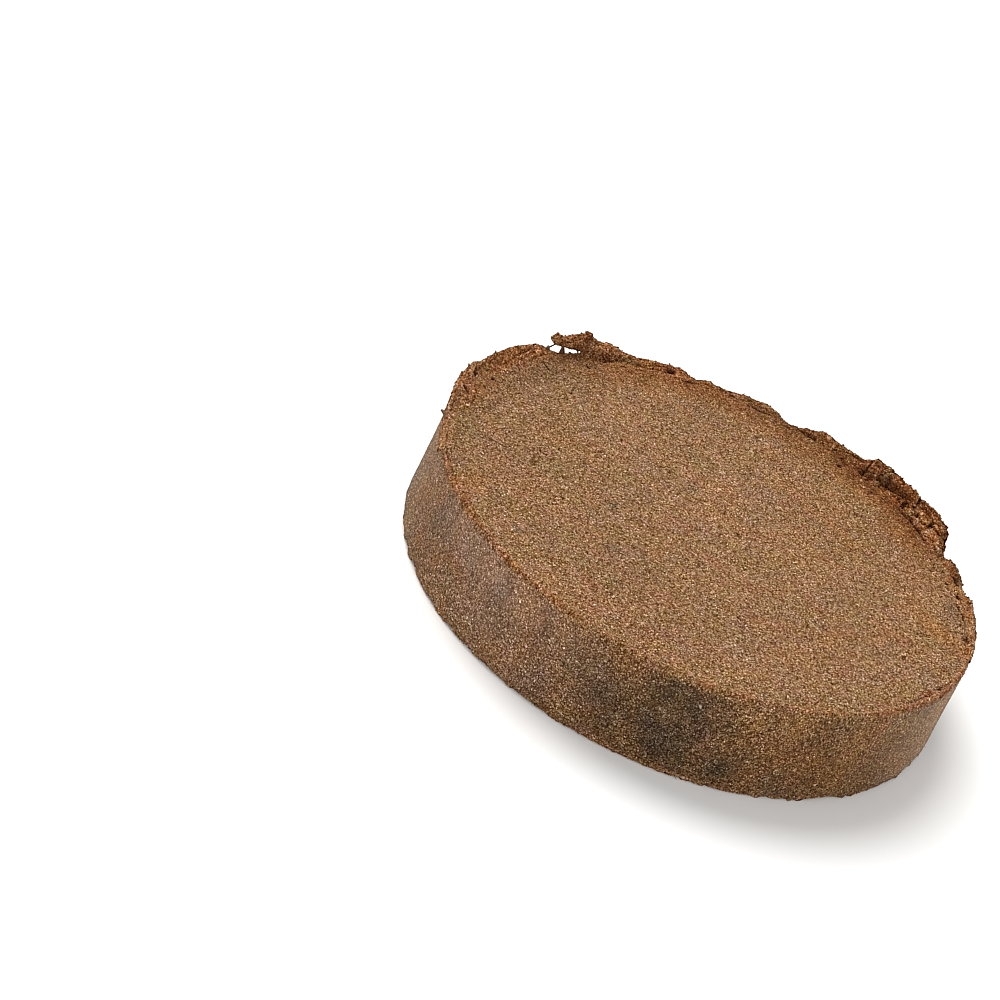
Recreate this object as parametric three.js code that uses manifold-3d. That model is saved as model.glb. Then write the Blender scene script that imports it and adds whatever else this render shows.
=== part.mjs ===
// A coconut coir disc: one flat round block of dry coir pith, pressed in a mould, lying on its flat
// underside. The wall is smooth from the mould. The top edge carries what was squeezed out between
// the mould and its lid: a torn ridge, low burrs, a crumbled shoulder and one flake that has peeled up.
//
// Millimetres, +Z up. The origin is the middle of the underside, and angles are in degrees round +Z
// from +X. The intact, plain side of the edge faces -Y.

import * as THREE from "three";
import { mergeVertices } from "three/addons/utils/BufferGeometryUtils.js";
import Module from "manifold-3d";

// Driving dimensions of the pressed block
const FACE_RADIUS = 45;
const INNER_RING = 32; // radius that the whole edge band stays clear of
const THICKNESS = 17;
const DRAFT = 0.01; // the foot is this share wider than the face, as the mould is
const FOOT_RADIUS = FACE_RADIUS * (1 + DRAFT);

// What stands above the face along the top edge: the angles it runs between, over how many degrees
// it dies away there, its height, how far in over the face its bank reaches, how the bank steepens
// towards the crest, the depth of the trench at its foot, how far it leans out, how tall its lumps
// are, and 1 if its crest is blunt
const RIDGES = [
  // torn ridge
  { from: 37, to: 67, fade: 2.6, height: 3.0, width: 4.8, curve: 4.5, trench: 0.7, lean: 0.5, ragged: 0.6 },
  // its low left end, and the broken crust at its right end
  { from: 64, to: 80, fade: 2.5, height: 1.1, width: 4.4, curve: 4, trench: 0.6, lean: 0.1, ragged: 0.5 },
  { from: 25.5, to: 41, fade: 2.5, height: 0.1, width: 3.4, curve: 4, trench: 0.5, lean: 0.1, ragged: 0.4 },
  // chipped back rim, and the burr that the flake grows from
  { from: 78, to: 112, fade: 4, height: 0.05, width: 3.6, curve: 3, trench: 0.35, lean: 0, ragged: 0.45 },
  { from: 108, to: 131, fade: 4, height: 0.6, width: 3.8, curve: 3, trench: 0.3, lean: 0, ragged: 0.4 },
  // crumbled shoulder, and its corner, which stands highest
  { from: 142, to: 190, fade: 9, height: 2.3, width: 6.0, curve: 1.3, trench: 0.1, lean: 0.5, ragged: 0.4 },
  {
    from: 167, to: 185, fade: 7, height: 3.1, width: 6, curve: 1.5, trench: 0.1, lean: 0.7, ragged: 0.4,
    blunt: 1,
  },
  // split lip
  { from: -4, to: 23, fade: 3, height: 0.3, width: 2.3, curve: 4, trench: 0.55, lean: 0.1, ragged: 0.3 },
  // fine burr along the front
  { from: 188, to: 350, fade: 6, height: 0.14, width: 1.2, curve: 1, trench: 0.1, lean: 0.05, ragged: 0.14 },
];
// The edge between the ridges
const PLAIN_EDGE = { height: 0, width: 1.1, curve: 1, trench: 0, lean: 0, ragged: 0.12, blunt: 0 };
const CREST_INSET = 0.35; // from the wall to the crest

// Bites out of the two edges: where, how wide and how deep
const TOP_CHIPS = [
  { at: 24.5, spread: 1.6, depth: 1.2 },
  { at: 36.5, spread: 2.0, depth: 0.9 },
  { at: 85, spread: 3.0, depth: 1.25 },
  { at: 102, spread: 3.5, depth: 0.5 },
  { at: 107.5, spread: 2.0, depth: 1.1 },
  { at: 139, spread: 3.2, depth: 0.7 },
  { at: 194, spread: 2.4, depth: 0.4 },
];
const FOOT_CHIPS = [
  { at: 18, spread: 3.5, depth: 1.3 },
  { at: 62, spread: 5.0, depth: 1.6 },
  { at: 74, spread: 2.5, depth: 1.0 },
  { at: 118, spread: 6.0, depth: 1.9 },
  { at: 139, spread: 3.0, depth: 1.2 },
  { at: 171, spread: 4.0, depth: 1.4 },
  { at: 214, spread: 2.0, depth: 0.5 },
  { at: 318, spread: 2.5, depth: 0.6 },
];

// The flake is a strip of crust still joined to the edge at one end, with daylight under the rest.
// Its underside and its top above the face, from its root to its tip
const FLAKE = [
  { at: 121.0, under: -1.6, over: 0.2 },
  { at: 126.5, under: -1.4, over: 1.2 },
  { at: 130.0, under: -1.2, over: 2.2 },
  { at: 133.0, under: -1.0, over: 2.6 },
  { at: 135.3, under: -0.2, over: 3.5 },
  { at: 136.7, under: 0.35, over: 4.3 },
  { at: 138.8, under: 0.8, over: 3.5 },
  { at: 141.0, under: 1.05, over: 2.9 },
  { at: 142.6, under: 1.35, over: 3.3 },
  { at: 144.3, under: 1.7, over: 3.8 },
  { at: 145.4, under: 2.0, over: 2.9 },
];
const FLAKE_RADIUS = 44.3; // of its middle line about the disc's axis
const FLAKE_DEPTH = 2.9; // across, towards the axis, at the root
const FLAKE_TIP_DEPTH = 1.9;

const STEPS_ROUND = 270;
const FLAKE_SIDES = 10;
const FLAKE_SPANS = 2; // rings for each stretch of its profile
const WELD = 0.03; // corners that a cut leaves closer than this become one

const radians = THREE.MathUtils.degToRad;
const smoothstep = THREE.MathUtils.smoothstep;
const lerp = THREE.MathUtils.lerp;

// Repeatable noise from -1 to 1, smooth between the points of a lattice
function lattice(i, j, k) {
  let n = Math.imul(i, 374761393) + Math.imul(j, 668265263) + Math.imul(k, 2147483647);
  n = Math.imul(n ^ (n >>> 13), 1274126177);
  n ^= n >>> 16;
  return (n >>> 0) / 2147483648 - 1;
}

function noise(x, y, z) {
  const [i, j, k] = [x, y, z].map(Math.floor);
  const [u, v, w] = [x - i, y - j, z - k].map((t) => t * t * (3 - 2 * t));
  let sum = 0;
  for (let corner = 0; corner < 8; corner++) {
    const [a, b, c] = [corner & 1, (corner >> 1) & 1, corner >> 2];
    const share = (a ? u : 1 - u) * (b ? v : 1 - v) * (c ? w : 1 - w);
    sum += share * lattice(i + a, j + b, k + c);
  }
  return sum;
}

// How lumpy crust is at a place: lumps of the given size in millimetres, with smaller ones on them
function lumps(angle, radius, height, size) {
  const a = radians(angle);
  const [x, y] = [radius * Math.cos(a), radius * Math.sin(a)];
  const fine = noise((2 * x) / size + 40, (2 * y) / size, (2 * height) / size);
  return 0.7 * noise(x / size, y / size, height / size) + 0.45 * fine;
}

// Degrees from one angle to another, the short way round
function apart(a, b) {
  return Math.abs(((a - b + 540) % 360) - 180);
}

// 1 along the middle of a ridge, 0 beyond its ends
function presence(ridge, angle) {
  const middle = (ridge.from + ridge.to) / 2;
  const half = (ridge.to - ridge.from) / 2;
  return 1 - smoothstep(apart(angle, middle), half - ridge.fade, half);
}

function bite(chips, angle) {
  const depths = chips.map((c) => c.depth * Math.exp(-((apart(angle, c.at) / c.spread) ** 2)));
  return Math.max(...depths);
}

// The edge band at an angle: what stands on it and how deep it is chipped
function edgeAt(angle) {
  const edge = { ...PLAIN_EDGE };
  for (const ridge of RIDGES) {
    const share = presence(ridge, angle);
    for (const measure in PLAIN_EDGE) {
      const full = ridge[measure] ?? PLAIN_EDGE[measure];
      edge[measure] = Math.max(edge[measure], lerp(PLAIN_EDGE[measure], full, share));
    }
  }
  edge.chip = bite(TOP_CHIPS, angle);
  return edge;
}

// One spoke of the block, from the middle of the face over the edge and down the wall to the foot,
// as [radius, height] points
function spoke(angle) {
  const { height, width, curve, trench, lean, ragged, blunt, chip } = edgeAt(angle);
  const rough = (r, layer) => ragged * lumps(angle, r, layer, 3.2);
  const crestInset = CREST_INSET * (1 + 0.3 * lumps(angle, 44, 9, 4));
  const tall = height * (1 + 0.14 * lumps(angle, 45, 60, 7)); // long swells along a ridge

  // Share 0 is where the bank starts on the face and 1 is the crest. The trench and chips are given
  // as depths, and the lumps as a share of their full size
  const onBank = (share, lumpShare, depth) => {
    const r = FACE_RADIUS - lerp(width, crestInset, share);
    const rise = tall * share ** curve + lumpShare * rough(r, 6) - depth;
    return [r + 0.4 * rough(r, 30), THICKNESS + rise];
  };
  const bottom = trench * (0.8 + 0.5 * lumps(angle, 40, 5, 4));
  const crest = tall + 0.45 * rough(FACE_RADIUS, 6) - chip;
  const corner = Math.min(crest, lerp(0.7, 1, blunt) * crest) - 0.12;
  const points = [
    [INNER_RING, THICKNESS],
    [FACE_RADIUS - width - 1.5, THICKNESS],
    onBank(0, 0.15, 0),
    onBank(0.35, 0.45, 0.35 * bottom),
    onBank(0.62, 0.8, bottom + 0.4 * chip),
    onBank(0.84, 0.8, 0.7 * chip),
    [FACE_RADIUS - crestInset + 0.4 * rough(FACE_RADIUS, 30), THICKNESS + crest],
    [FACE_RADIUS + lean - 0.1 - 0.3 * chip + 0.5 * rough(45, 12), THICKNESS + corner],
    [FACE_RADIUS + 0.4 * lean + 0.25 * rough(45, 15), THICKNESS - 0.7 - chip],
  ];

  const wallLevels = [0.8, 0.5, 0.22];
  for (const level of wallLevels) {
    points.push([lerp(FOOT_RADIUS, FACE_RADIUS, level), THICKNESS * level]);
  }
  const foot = bite(FOOT_CHIPS, angle) + 0.18 * (1 + lumps(angle, FACE_RADIUS, 0, 3));
  points.push(
    [FOOT_RADIUS - 0.1 * foot, 2.2],
    [FOOT_RADIUS - 0.45 * foot, 1.1 + 0.2 * lumps(angle, 45, 20, 3)],
    [FOOT_RADIUS - 0.05 - 0.9 * foot, 0.3],
    [FOOT_RADIUS - 0.35 - 1.1 * foot, 0],
  );
  return points;
}

// A closed body from rings of points, with a point at the middle of each end
function skin(rings, firstMiddle, lastMiddle) {
  const size = rings[0].length;
  const positions = [firstMiddle, ...rings.flat(), lastMiddle].flat();
  const last = 1 + rings.length * size;
  const index = [];
  for (let i = 0; i < size; i++) {
    const next = (i + 1) % size;
    index.push(0, 1 + i, 1 + next);
    for (let ring = 0; ring + 1 < rings.length; ring++) {
      const [a, b] = [1 + ring * size + i, 1 + ring * size + next];
      index.push(a, a + size, b + size, a, b + size, b);
    }
    index.push(last, last - size + next, last - size + i);
  }
  const geometry = new THREE.BufferGeometry();
  geometry.setAttribute("position", new THREE.Float32BufferAttribute(positions, 3));
  geometry.setIndex(index);
  return geometry;
}

// A point at an angle round the disc's axis
function place(angle, r, z) {
  const a = radians(angle);
  return [r * Math.cos(a), r * Math.sin(a), z];
}

function blockGeometry() {
  const spokes = [];
  for (let i = 0; i < STEPS_ROUND; i++) {
    const angle = (360 * i) / STEPS_ROUND;
    spokes.push(spoke(angle).map(([r, z]) => place(angle, r, z)));
  }
  const rings = spokes[0].map((_, ring) => spokes.map((points) => points[ring]));
  return skin(rings, [0, 0, THICKNESS], [0, 0, 0]);
}

// One ring of the flake's surface, the given share of the way from a profile point to the next
function flakeRing(from, to, share, along) {
  const angle = lerp(from.at, to.at, share);
  const under = lerp(from.under, to.under, share);
  const over = lerp(from.over, to.over, share);
  const middle = (under + over) / 2;
  const halfDepth = lerp(FLAKE_DEPTH, FLAKE_TIP_DEPTH, along) / 2;
  const ring = [];
  for (let side = 0; side < FLAKE_SIDES; side++) {
    const turn = (2 * Math.PI * side) / FLAKE_SIDES;
    const [across, up] = [Math.cos(turn), Math.sin(turn)];
    const swell = 1 + 0.3 * lumps(angle, 44 + 2 * across, 50 + 2 * up, 1.7);
    const radius = FLAKE_RADIUS + halfDepth * swell * across;
    ring.push(place(angle, radius, THICKNESS + middle + ((over - under) / 2) * up * (0.75 + 0.25 * swell)));
  }
  return ring;
}

function flakeGeometry() {
  const spans = FLAKE.length - 1;
  const rings = [];
  for (let i = 0; i <= spans * FLAKE_SPANS; i++) {
    const from = Math.min(spans - 1, Math.floor(i / FLAKE_SPANS));
    rings.push(flakeRing(FLAKE[from], FLAKE[from + 1], i / FLAKE_SPANS - from, i / (spans * FLAKE_SPANS)));
  }
  const endMiddle = ({ at, under, over }) => place(at, FLAKE_RADIUS, THICKNESS + (under + over) / 2);
  return skin(rings, endMiddle(FLAKE[0]), endMiddle(FLAKE[spans]));
}

const wasm = await Module();
wasm.setup();

function solidOf(geometry) {
  const merged = mergeVertices(geometry);
  return new wasm.Manifold(
    new wasm.Mesh({
      numProp: 3,
      vertProperties: merged.attributes.position.array,
      triVerts: new Uint32Array(merged.index.array),
    }),
  );
}

// The solid's surface, with corners closer than WELD made one and the triangles between them left out
function geometryOf(solid) {
  const { vertProperties, triVerts } = solid.getMesh();
  const cut = new THREE.BufferGeometry();
  cut.setAttribute("position", new THREE.BufferAttribute(vertProperties, 3));
  cut.setIndex(new THREE.BufferAttribute(triVerts, 1));
  const geometry = mergeVertices(cut, WELD);
  const index = [];
  for (let i = 0; i < geometry.index.count; i += 3) {
    const corners = [0, 1, 2].map((corner) => geometry.index.getX(i + corner));
    if (new Set(corners).size === 3) {
      index.push(...corners);
    }
  }
  geometry.setIndex(index);
  geometry.computeVertexNormals();
  return geometry;
}

const coir = new THREE.MeshStandardMaterial({ color: 0x99734f, roughness: 0.9, metalness: 0 });
const pressed = solidOf(blockGeometry()).add(solidOf(flakeGeometry()));
const disc = new THREE.Mesh(geometryOf(pressed), coir);
disc.name = "coir_disc";

const part = new THREE.Group();
part.add(disc);

export default part;
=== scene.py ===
"""A coconut coir disc: the skin, grains, crumbs and fibres of one pressed block of coir pith.

The CAD solid gives the block, its torn ridge, its shoulder and its peeled flake. This script lays
a finer skin over it, breaks its edges up, and scatters the grains and fibres that the pith is made
of. Sizes that end in _MM are in millimetres, angles are in degrees round +Z from +X, and colours
are linear.
"""
import math

import bpy
import numpy as np
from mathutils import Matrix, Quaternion, Vector


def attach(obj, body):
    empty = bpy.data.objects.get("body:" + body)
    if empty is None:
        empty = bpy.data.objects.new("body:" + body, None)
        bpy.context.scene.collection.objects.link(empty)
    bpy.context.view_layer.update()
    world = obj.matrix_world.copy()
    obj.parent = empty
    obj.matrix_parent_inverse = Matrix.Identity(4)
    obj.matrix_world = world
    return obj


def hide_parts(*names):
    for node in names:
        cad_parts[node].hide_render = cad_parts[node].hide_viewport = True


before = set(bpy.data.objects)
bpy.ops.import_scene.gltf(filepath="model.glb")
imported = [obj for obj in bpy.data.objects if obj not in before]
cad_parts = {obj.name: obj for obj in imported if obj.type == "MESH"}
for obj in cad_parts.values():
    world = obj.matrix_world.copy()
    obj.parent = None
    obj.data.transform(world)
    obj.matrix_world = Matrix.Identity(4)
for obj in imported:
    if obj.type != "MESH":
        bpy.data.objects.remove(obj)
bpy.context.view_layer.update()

MM = 0.001
NODE = "coir_disc"

# The pressed block, as the CAD solid has it
FACE_RADIUS_MM = 45.0
FOOT_RADIUS_MM = 45.45
THICKNESS_MM = 17.0

# Crust along the top edge: angles, fade, how far it reaches in over the face, how much it is coloured
# as crust, how torn it is and how much paler than other crust
CRUSTS = [
    (37, 68, 2, 3.0, 0.95, 0.75, 0.4),  # torn ridge
    (64, 80, 3, 2.8, 0.8, 0.6, 0.15),
    (24, 39, 3, 3.0, 0.9, 0.45, 0.0),
    (78, 112, 4, 3.0, 0.6, 0.5, 0.0),  # back rim
    # the flake's crust is paler, partly as painted light on the shade round its root
    (108, 147, 3, 3.4, 0.8, 0.6, 0.34),  # flake
    (142, 173, 6, 3.3, 1.0, 0.42, 0.2),  # shoulder
    (164, 192, 7, 3.4, 0.45, 0.42, 0.2),  # corner
    (-6, 25, 4, 2.2, 0.5, 0.3, 0.2),  # split lip
]
# The fine crust on the top edge: angles, strength and width
LIPS = [
    (176, 208, 0.8, 1.5),
    (202, 232, 1.0, 0.95),
    (228, 260, 0.9, 0.6),
    (256, 320, 0.5, 0.42),
    (316, 361, 0.95, 0.65),
    (0, 180, 0.8, 0.7),
]
# Bands of other colours inside the rim, one with painted shade beside the torn ridge: angles, fade, where
# they start and are full, and multiplier
FACE_BANDS = [
    (28, 150, 14, 33.5, 37.5, (0.93, 0.83, 0.68)),
    (72, 135, 12, 36.0, 41.0, (0.78, 0.66, 0.56)),
    # darker and redder beside the torn ridge: redder crust, and painted shade from the ridge
    (32, 78, 8, 36.0, 41.5, (0.68, 0.52, 0.38)),
    (14, 74, 10, 33.0, 36.5, (0.96, 0.9, 0.83)),
    (128, 160, 10, 34.0, 38.0, (0.86, 0.82, 0.79)),
    (148, 190, 12, 38.0, 42.0, (1.02, 0.94, 0.85)),
    (180, 206, 8, 38.0, 41.0, (0.88, 0.9, 0.86)),
    (172, 208, 6, 43.3, 44.3, (1.18, 1.22, 1.36)),
]
# Painted shade in the crevice behind the torn ridge: angles, fade, radius, half width and multiplier
CREVICE_SHADE = (43, 88, 6, 42.5, 0.9, (0.68, 0.6, 0.5))
# The slit under the flake, which stays open: angles, how far in and how low it reaches, and its top
SLIT = {"from": 132, "to": 148, "radius": 40.8, "height": 16.0, "flake": 18.6}

# Cracks in the rim, seen from above: angles, radius at each, half opening and depth
RIM_CRACKS = [
    (3, 21, 43.6, 42.1, 0.28, 0.9),  # splits the lip
    (48, 66, 43.8, 43.3, 0.3, 0.9),  # foot of the torn ridge
    (66, 79, 41.4, 42.6, 0.18, 0.6),
    (97, 109, 43.0, 43.3, 0.25, 0.5),
    (111, 128, 43.2, 42.8, 0.22, 0.5),
    (150, 160, 43.9, 43.5, 0.22, 0.4),
    (192, 216, 44.1, 44.3, 0.18, 0.4),
    (326, 350, 44.0, 44.3, 0.16, 0.3),
]
# Charcoal marks on the wall: angle, height, half width along the wall, half height, strength
CHARCOALS = [
    (281, 8.0, 8.0, 10.0, 1.0),
    (269, 8.5, 4.5, 5.0, 0.75),
    (291, 5.0, 5.0, 5.0, 0.8),
    (309, 6.5, 5.0, 6.0, 0.4),
    (262, 12.0, 5.0, 3.0, 0.3),
    (251, 12.0, 1.8, 4.0, 0.4),
    (240, 12.0, 2.0, 4.0, 0.45),
    (228, 10.0, 3.0, 5.0, 0.2),
    (30, 8.0, 8.0, 6.0, 0.6),
    (120, 7.0, 10.0, 5.0, 0.5),
    (165, 10.0, 6.0, 4.0, 0.4),
]

# Broad patches of other colours on the wall, and painted sheen at its pale right end: angle, height, half
# width, half height, multiplier
WALL_PATCHES = [
    (234, 8.0, 18.0, 10.0, (1.1, 1.12, 1.3)),  # greyish pink
    (236, 14.6, 15.0, 3.6, (1.34, 1.4, 1.66)),  # violet bloom under the edge
    (246, 4.5, 9.0, 5.0, (1.0, 1.1, 1.28)),
    (213, 7.0, 5.0, 8.0, (0.86, 0.84, 0.84)),
    (262, 14.0, 5.0, 3.5, (1.28, 1.16, 1.12)),
    (262, 4.0, 12.0, 5.0, (1.04, 1.0, 0.96)),
    (314, 8.0, 16.0, 9.0, (1.08, 1.0, 0.86)),  # ochre brown
    (327, 13.5, 6.0, 3.5, (1.2, 1.2, 1.18)),
    (298, 14.5, 6.0, 2.6, (1.2, 1.2, 1.26)),
    # painted sheen: the right end of the wall and the patch under it, lighter and greyer
    (346, 8.0, 8.0, 14.0, (1.58, 1.66, 1.68)),  # pale end
    (342, 2.5, 6.0, 4.0, (1.4, 1.46, 1.52)),
    (60, 10.0, 14.0, 8.0, (1.08, 0.98, 0.84)),
    (95, 11.0, 9.0, 5.0, (1.0, 1.04, 1.2)),
    (145, 5.0, 13.0, 5.0, (1.1, 1.02, 0.9)),
]

# Fine dust rubbed into the wall, which hides the grains, and at the pale right end painted sheen: as
# patches, with the share of it
DUST_AND_SHEEN_PATCHES = [
    (238, 14.0, 15.0, 5.0, 0.24),
    (242, 6.0, 12.0, 7.0, 0.1),
    # painted sheen at the pale right end of the wall
    (346, 8.0, 9.0, 14.0, 0.26),
]
# The colour of the dust and of the painted sheen
DUST_AND_SHEEN_COLOUR = (0.35, 0.215, 0.15)

# Cracks along the wall: angles, height at each, half opening and depth
FISSURES = [
    (221, 233, 0.75, 0.75, 0.22, 0.45),
    (205, 210, 0.6, 0.6, 0.25, 0.45),
    (235.5, 237.5, 15.0, 15.0, 0.25, 0.4),
    (28, 52, 3.6, 3.6, 0.25, 0.6),
    (46, 64, 2.2, 2.2, 0.22, 0.5),
    (92, 121, 4.6, 4.6, 0.28, 0.65),
    (132, 150, 2.6, 2.6, 0.22, 0.5),
    (160, 178, 3.4, 3.4, 0.25, 0.55),
]
# Painted shade: a rim crack as deep as this is painted as dark as a gap
SHADED_GAP_DEPTH_MM = 0.6  # a crack as deep as this is as dark as a gap

# Patches on the face: x, y, half width, half depth and the colour it is multiplied by
FACE_PATCHES = [
    (-14.8, -10.4, 0.9, 1.2, (0.66, 0.72, 0.8)),
    (-11.6, -21.8, 1.1, 1.3, (0.8, 0.92, 1.15)),
    (-25.0, -29.5, 1.0, 1.2, (0.8, 0.92, 1.15)),
    (-34.0, 2.0, 16.0, 24.0, (0.92, 0.93, 0.92)),
    (30.0, 4.0, 18.0, 14.0, (1.04, 1.04, 1.02)),
    (7.0, 36.5, 5.0, 4.5, (0.96, 0.87, 0.78)),
    (-21.5, 12.5, 9.0, 8.0, (1.11, 1.12, 1.17)),
    (17.0, 17.0, 9.0, 9.0, (0.98, 0.95, 0.88)),
]

# What the grain colours are multiplied by in single marks on the top; gap and shade marks are painted shade
MARK_KINDS = {
    # painted shade in gaps and rim cracks
    "shaded_gap": (0.4, 0.31, 0.26),
    "shade": (0.62, 0.5, 0.4),
    "straw": (1.75, 1.9, 2.05),
    "tan": (1.35, 1.42, 1.3),
    "pink": (1.45, 1.4, 1.65),
    "orange": (1.3, 0.98, 0.68),
    "rust": (0.95, 0.58, 0.4),
    "grey": (0.9, 0.98, 1.18),
    "ochre": (1.22, 1.12, 0.86),
}
# Single marks on the top: kind (a bump keeps the colour), angle, radius, half length, half width,
# how its length is turned outward from the rim's direction, and how far it is raised
MARKS = [
    ("shaded_gap", 65.3, 42.8, 0.75, 0.6, 0, -0.6),  # torn ridge
    ("shaded_gap", 64.8, 43.8, 1.1, 0.25, 90, -0.4),
    ("shaded_gap", 61.0, 43.8, 0.7, 0.5, 0, -0.6),
    ("shaded_gap", 59.2, 43.6, 1.0, 0.6, 0, -0.7),
    ("shaded_gap", 57.0, 43.6, 0.7, 0.35, 0, -0.5),
    ("shaded_gap", 54.4, 43.7, 0.5, 0.35, 0, -0.5),
    ("shaded_gap", 52.2, 43.3, 0.6, 0.5, 80, -0.5),
    ("shaded_gap", 50.1, 44.4, 0.5, 0.35, 60, -0.3),
    ("shaded_gap", 47.9, 43.6, 0.45, 0.24, 0, -0.35),
    ("shaded_gap", 43.5, 43.8, 0.6, 0.28, 0, -0.35),
    ("shaded_gap", 50.9, 42.1, 1.2, 0.34, 0, -0.6),
    ("shaded_gap", 47.8, 42.45, 1.3, 0.38, 0, -0.7),
    ("shaded_gap", 44.8, 42.6, 1.2, 0.38, 0, -0.7),
    ("shaded_gap", 41.9, 42.25, 1.0, 0.32, 0, -0.5),
    ("shaded_gap", 39.3, 42.2, 0.8, 0.2, 0, -0.4),
    ("shaded_gap", 55.4, 40.6, 0.35, 0.25, 0, -0.2),
    ("shaded_gap", 62.6, 42.3, 0.55, 0.35, 30, -0.3),
    ("straw", 62.4, 40.1, 0.42, 0.36, 0, 0.15),
    ("straw", 63.4, 43.4, 0.42, 0.28, 90, 0.25),
    ("tan", 60.7, 43.0, 0.6, 0.3, 32, 0.25),
    ("straw", 60.0, 39.0, 0.35, 0.3, 0, 0.15),
    ("tan", 49.5, 43.1, 0.8, 0.5, 32, 0.35),
    ("tan", 49.0, 43.6, 0.55, 0.25, 32, 0.25),
    ("pink", 46.7, 43.0, 0.65, 0.36, 32, 0.25),
    ("pink", 49.8, 44.1, 0.35, 0.3, 0, 0.15),
    ("straw", 42.9, 43.3, 0.7, 0.46, -70, 0.35),
    ("straw", 38.1, 43.5, 0.9, 0.32, 0, 0.25),
    ("orange", 57.7, 41.5, 0.75, 0.4, 32, 0.25),
    ("orange", 52.6, 43.9, 0.9, 0.36, -80, 0.25),
    ("orange", 55.0, 44.5, 2.3, 0.3, 0, 0.1),
    ("tan", 60.1, 44.3, 0.9, 0.7, 0, 0.2),
    ("shade", 40.0, 44.5, 2.6, 0.36, 0, 0.0),
    ("orange", 46.0, 44.5, 1.6, 0.28, 0, 0.1),
    ("straw", 39.5, 38.4, 0.38, 0.3, 0, 0.15),
    ("straw", 39.0, 36.0, 0.35, 0.28, 0, 0.12),
    ("grey", 41.0, 40.7, 0.6, 0.45, 0, 0.1),
    ("grey", 39.1, 40.8, 0.6, 0.4, 0, 0.1),
    ("bump", 59.0, 44.5, 1.6, 0.7, 0, 0.4),
    ("shaded_gap", 28.0, 43.7, 0.9, 0.6, 0, -0.4),  # right rim
    ("shaded_gap", 25.8, 43.4, 0.8, 0.5, 0, -0.4),
    ("shaded_gap", 24.7, 41.4, 0.35, 0.3, 0, -0.3),
    ("shaded_gap", 29.0, 41.8, 0.4, 0.3, 0, -0.3),
    ("shaded_gap", 20.4, 42.8, 0.7, 0.45, 0, -0.6),
    ("shaded_gap", 4.6, 43.5, 0.6, 0.42, 80, -0.7),
    ("shade", 31.5, 44.4, 2.0, 0.32, 0, 0.0),
    ("shade", 27.6, 44.4, 1.5, 0.36, 0, 0.0),
    ("shade", 11.0, 44.8, 5.0, 0.22, 0, 0.0),
    ("orange", 15.0, 43.8, 1.8, 0.38, 0, 0.15),
    ("straw", 9.4, 44.0, 0.8, 0.45, 30, 0.2),
    ("orange", 0.7, 44.1, 0.9, 0.45, 0, 0.2),
    ("rust", 0.7, 44.1, 0.5, 0.18, 0, -0.1),
    ("grey", 14.0, 40.7, 3.2, 1.2, 0, -0.05),
    ("ochre", 2.1, 38.8, 4.2, 2.5, -60, 0.12),
    ("rust", 338.0, 43.7, 0.8, 0.4, 0, 0.1),
    ("rust", 335.6, 43.9, 0.7, 0.35, 0, 0.1),
    ("shaded_gap", 341.1, 44.2, 0.5, 0.3, 0, -0.3),
    ("straw", 345.5, 44.3, 0.55, 0.36, 0, 0.15),
    ("shaded_gap", 129.8, 42.7, 0.7, 0.32, 0, -0.4),  # at the root of the flake
    ("shaded_gap", 131.8, 42.2, 0.5, 0.35, 0, -0.4),
    ("shaded_gap", 137.6, 40.4, 0.6, 0.28, 90, -0.3),
    # tan and pink chips at the flake's root, partly painted light on its shade
    ("tan", 124.5, 43.4, 1.6, 0.5, 0, 0.1),
    ("pink", 128.2, 43.9, 1.1, 0.4, 0, 0.1),
    ("straw", 135.4, 43.2, 0.45, 0.3, 0, 0.1),
    ("pink", 132.3, 43.1, 0.35, 0.35, 0, 0.1),
    ("shaded_gap", 114.1, 43.5, 0.9, 0.55, 0, -0.6),  # back rim
    ("shaded_gap", 110.0, 41.8, 1.0, 0.35, 0, -0.5),
    ("shaded_gap", 98.8, 42.5, 0.9, 0.22, 0, -0.3),
    ("shaded_gap", 93.9, 42.1, 1.2, 0.5, 0, -0.5),
    ("shaded_gap", 91.4, 42.1, 0.45, 0.36, 0, -0.3),
    ("shaded_gap", 85.2, 41.2, 0.6, 0.3, 0, -0.3),
    ("shaded_gap", 81.3, 43.2, 0.8, 0.3, 0, -0.4),
    ("shade", 85.5, 43.0, 4.2, 0.55, 0, 0.0),
    ("tan", 90.0, 44.5, 2.2, 0.35, 0, 0.1),
    ("shade", 110.5, 41.9, 2.0, 0.5, 0, -0.1),
    ("shaded_gap", 79.6, 42.9, 1.2, 0.8, 0, -1.0),
    ("shaded_gap", 68.8, 39.5, 0.5, 0.36, 0, -0.4),
    ("orange", 73.4, 41.2, 0.7, 0.4, 0, 0.25),
    ("pink", 95.8, 37.9, 0.5, 0.3, 0, 0.1),
    ("straw", 89.3, 39.3, 0.36, 0.3, 0, 0.12),
    ("bump", 165.2, 44.6, 0.5, 0.6, 0, 0.4),  # shoulder
    ("shaded_gap", 175.6, 43.9, 0.9, 0.32, 0, -0.35),
    ("shaded_gap", 181.8, 43.8, 0.7, 0.26, -60, -0.3),
    ("shaded_gap", 169.5, 43.4, 0.5, 0.26, 0, -0.2),
    ("shaded_gap", 170.1, 41.9, 0.45, 0.3, 0, -0.2),
    ("shaded_gap", 150.6, 40.8, 0.9, 0.22, 90, -0.35),
    ("pink", 179.6, 43.1, 1.5, 0.28, 18, 0.15),
]

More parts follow.
